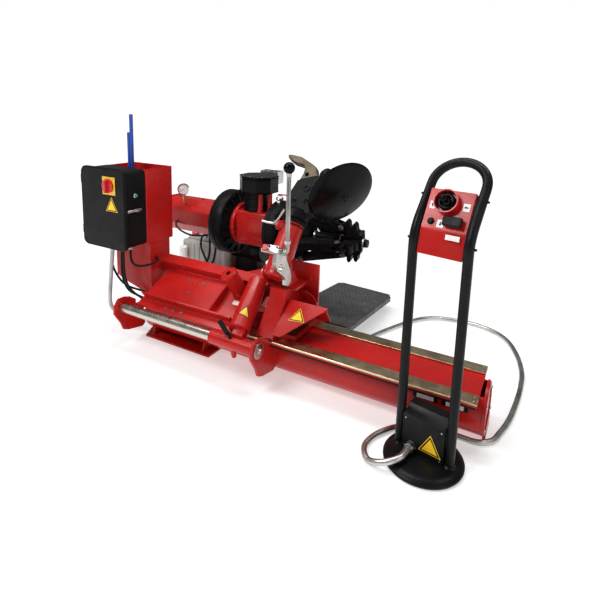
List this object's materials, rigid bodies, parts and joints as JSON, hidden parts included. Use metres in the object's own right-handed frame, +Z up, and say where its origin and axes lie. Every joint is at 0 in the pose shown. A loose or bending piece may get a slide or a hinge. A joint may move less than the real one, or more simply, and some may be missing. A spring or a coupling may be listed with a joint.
{
  "type": "truck tyre changer",
  "caption": "Floor-standing tyre changer for truck wheels: bed with sliding tool carriage, lifting chuck arm with turning jaws, control cabinet, oil unit and a separate control stand on a hose.",
  "frame": {"origin": "middle of the machine's bounding box on the floor, control stand included, hose left out", "axes": "+X along the bed from the cabinet to the control stand, +Y from the operator's side to the drive side, +Z up"},
  "size_m": [2.381, 1.4454, 1.2284],
  "materials": {
    "paint_red": "gloss red enamel",
    "paint_black": "satin black enamel",
    "cast_black": "black painted casting",
    "plastic_black": "moulded black plastic",
    "steel": "bright machined steel",
    "zinc": "zinc plated",
    "forged": "bare forged steel",
    "paint_blue": "blue enamel",
    "knob_red": "red plastic",
    "tank_grey": "light grey paint",
    "chequer_grey": "dark anti-slip coating",
    "hose": "metal braided hose"
  },
  "bodies": {
    "base": {"bed_tube": "paint_red", "bed_deck": "paint_red", "front_rail": "steel", "rear_rail": "steel", "bed_end_plate": "paint_red", "left_foot": "paint_red", "rear_frame": "paint_red", "left_bar_bracket": "paint_red", "right_bar_bracket": "paint_red", "pivot_bar": "steel", "cabinet_column": "paint_red", "cabinet_body": "plastic_black", "tool_bin": "paint_red", "oil_tank": "tank_grey", "pump_motor": "cast_black", "stand_base": "paint_black", "stand_frame": "paint_black", "console": "paint_red", "joystick_ring": "plastic_black", "junction_box": "paint_black", "control_hose": "hose"},
    "door": {"cabinet_door": "plastic_black"},
    "isolator": {"isolator_knob": "knob_red"},
    "latch": {"cabinet_latch": "zinc"},
    "long_lever": {"tyre_lever_long": "paint_blue"},
    "short_lever": {"tyre_lever_short": "paint_blue"},
    "arm": {"arm_plate": "paint_red", "arm_sleeve": "paint_red", "arm_beam": "paint_red", "arm_boom": "paint_red", "lift_cylinder": "paint_red", "motor_cover": "paint_red", "gear_housing": "cast_black", "gearbox": "paint_red", "spindle_bearing": "cast_black", "motor_box": "plastic_black"},
    "ram": {"lift_rod": "steel"},
    "handle": {"sleeve_lock": "plastic_black"},
    "valve": {"valve_lever": "knob_red"},
    "chuck": {"chuck_body": "cast_black"},
    "link_1": {"jaw_1_link": "cast_black"},
    "link_2": {"jaw_2_link": "cast_black"},
    "link_3": {"jaw_3_link": "cast_black"},
    "link_4": {"jaw_4_link": "cast_black"},
    "claw_1": {"jaw_1_claw": "cast_black"},
    "claw_2": {"jaw_2_claw": "cast_black"},
    "claw_3": {"jaw_3_claw": "cast_black"},
    "claw_4": {"jaw_4_claw": "cast_black"},
    "carriage": {"carriage_frame": "paint_red", "carriage_guard": "paint_red", "wheel_ramp": "chequer_grey"},
    "tool_arm": {"tool_arm": "paint_red"},
    "lever": {"lock_lever": "zinc"},
    "head": {"tool_head": "cast_black", "mounting_hook": "forged"},
    "pin": {"head_lock_pin": "zinc"},
    "disc": {"bead_disc": "cast_black"},
    "stick": {"joystick": "plastic_black"},
    "rocker": {"rocker_lever": "plastic_black"},
    "button": {"push_button": "plastic_black"}
  },
  "joints": [
    {"name": "arm_lift", "type": "hinge", "parent": "base", "child": "arm", "pos_m": [-0.2, -0.562, 0.218], "axis": [1, 0, 0], "range_deg": [-12, 5]},
    {"name": "ram_stroke", "type": "slide", "parent": "arm", "child": "ram", "axis": [0.2351, 0.4563, -0.8582], "range_m": [-0.065, 0.03]},
    {"name": "chuck_spin", "type": "hinge", "parent": "arm", "child": "chuck", "pos_m": [0, 0.157, 0.572], "axis": [1, 0, 0], "continuous": true},
    {"name": "jaw_1_swing", "type": "hinge", "parent": "chuck", "child": "link_1", "pos_m": [0.0065, 0.1238, 0.7285], "axis": [0, -0.9781, -0.2079], "range_deg": [0, 22]},
    {"name": "jaw_1_level", "type": "hinge", "parent": "link_1", "child": "claw_1", "pos_m": [0.2745, 0.1396, 0.6542], "axis": [0, -0.9781, -0.2079], "range_deg": [-22, 0]},
    {"name": "jaw_2_swing", "type": "hinge", "parent": "chuck", "child": "link_2", "pos_m": [0.0065, 0.0005, 0.5387], "axis": [0, 0.2079, -0.9781], "range_deg": [0, 22]},
    {"name": "jaw_2_level", "type": "hinge", "parent": "link_2", "child": "claw_2", "pos_m": [0.2745, 0.0749, 0.5545], "axis": [0, 0.2079, -0.9781], "range_deg": [-22, 0]},
    {"name": "jaw_3_swing", "type": "hinge", "parent": "chuck", "child": "link_3", "pos_m": [0.0065, 0.1903, 0.4155], "axis": [0, 0.9781, 0.2079], "range_deg": [0, 22]},
    {"name": "jaw_3_level", "type": "hinge", "parent": "link_3", "child": "claw_3", "pos_m": [0.2745, 0.1745, 0.4898], "axis": [0, 0.9781, 0.2079], "range_deg": [-22, 0]},
    {"name": "jaw_4_swing", "type": "hinge", "parent": "chuck", "child": "link_4", "pos_m": [0.0065, 0.3136, 0.6053], "axis": [0, -0.2079, 0.9781], "range_deg": [0, 22]},
    {"name": "jaw_4_level", "type": "hinge", "parent": "link_4", "child": "claw_4", "pos_m": [0.2745, 0.2392, 0.5895], "axis": [0, -0.2079, 0.9781], "range_deg": [-22, 0]},
    {"name": "sleeve_lock_turn", "type": "hinge", "parent": "arm", "child": "handle", "pos_m": [0.0465, -0.5777, 0.2477], "axis": [0, -0.4695, 0.8829], "range_deg": [0, 90]},
    {"name": "valve_turn", "type": "hinge", "parent": "arm", "child": "valve", "pos_m": [-0.1255, 0.127, 0.7844], "axis": [0, 0, 1], "range_deg": [0, 90]},
    {"name": "door_swing", "type": "hinge", "parent": "base", "child": "door", "pos_m": [-0.9605, -0.548, 0.531], "axis": [0, 0, -1], "range_deg": [0, 110]},
    {"name": "isolator_turn", "type": "hinge", "parent": "door", "child": "isolator", "pos_m": [-0.7495, -0.5584, 0.864], "axis": [0, -1, 0], "range_deg": [0, 90]},
    {"name": "latch_turn", "type": "hinge", "parent": "base", "child": "latch", "pos_m": [-0.6451, -0.478, 0.736], "axis": [1, 0, 0], "range_deg": [0, 90]},
    {"name": "long_lever_lift", "type": "slide", "parent": "base", "child": "long_lever", "axis": [0, 0, 1], "range_m": [0, 0.14]},
    {"name": "short_lever_lift", "type": "slide", "parent": "base", "child": "short_lever", "axis": [0, 0, 1], "range_m": [0, 0.14]},
    {"name": "carriage_travel", "type": "slide", "parent": "base", "child": "carriage", "axis": [1, 0, 0], "range_m": [0, 0.45]},
    {"name": "tool_arm_tilt", "type": "hinge", "parent": "carriage", "child": "tool_arm", "pos_m": [0.1415, -0.343, 0.5], "axis": [1, 0, 0], "range_deg": [0, 45]},
    {"name": "lock_lever_pull", "type": "hinge", "parent": "tool_arm", "child": "lever", "pos_m": [0.2185, -0.432, 0.64], "axis": [1, 0, 0], "range_deg": [0, 20]},
    {"name": "head_turn", "type": "hinge", "parent": "tool_arm", "child": "head", "pos_m": [0.1415, -0.1687, 0.7255], "axis": [0, -0.6115, -0.7912], "range_deg": [0, 90]},
    {"name": "head_pin_pull", "type": "slide", "parent": "tool_arm", "child": "pin", "axis": [-0.6198, -0.6209, 0.4799], "range_m": [0, 0.012], "stiffness_N_per_m": 400},
    {"name": "disc_spin", "type": "hinge", "parent": "head", "child": "disc", "pos_m": [0.3635, -0.108, 0.884], "axis": [0.7498, -0.4946, -0.4395], "continuous": true},
    {"name": "joystick_tilt", "type": "hinge", "parent": "base", "child": "stick", "pos_m": [0.9474, -0.515, 0.9789], "axis": [0.9833, -0.1822, 0], "range_deg": [-15, 15], "stiffness_Nm_per_rad": 2},
    {"name": "rocker_tilt", "type": "hinge", "parent": "base", "child": "rocker", "pos_m": [0.9808, -0.5524, 0.9158], "axis": [0.9833, -0.1822, 0], "range_deg": [-12, 12], "stiffness_Nm_per_rad": 1},
    {"name": "button_press", "type": "slide", "parent": "base", "child": "button", "axis": [0.1593, 0.8595, -0.4856], "range_m": [0, 0.0035], "stiffness_N_per_m": 300}
  ],
  "couplings": [
    {"joint": "jaw_1_level", "follows": "jaw_1_swing", "ratio": -1},
    {"joint": "jaw_2_swing", "follows": "jaw_1_swing", "ratio": 1},
    {"joint": "jaw_2_level", "follows": "jaw_1_swing", "ratio": -1},
    {"joint": "jaw_3_swing", "follows": "jaw_1_swing", "ratio": 1},
    {"joint": "jaw_3_level", "follows": "jaw_1_swing", "ratio": -1},
    {"joint": "jaw_4_swing", "follows": "jaw_1_swing", "ratio": 1},
    {"joint": "jaw_4_level", "follows": "jaw_1_swing", "ratio": -1},
    {"joint": "ram_stroke", "follows": "arm_lift", "m_per_rad": 0.3}
  ]
}
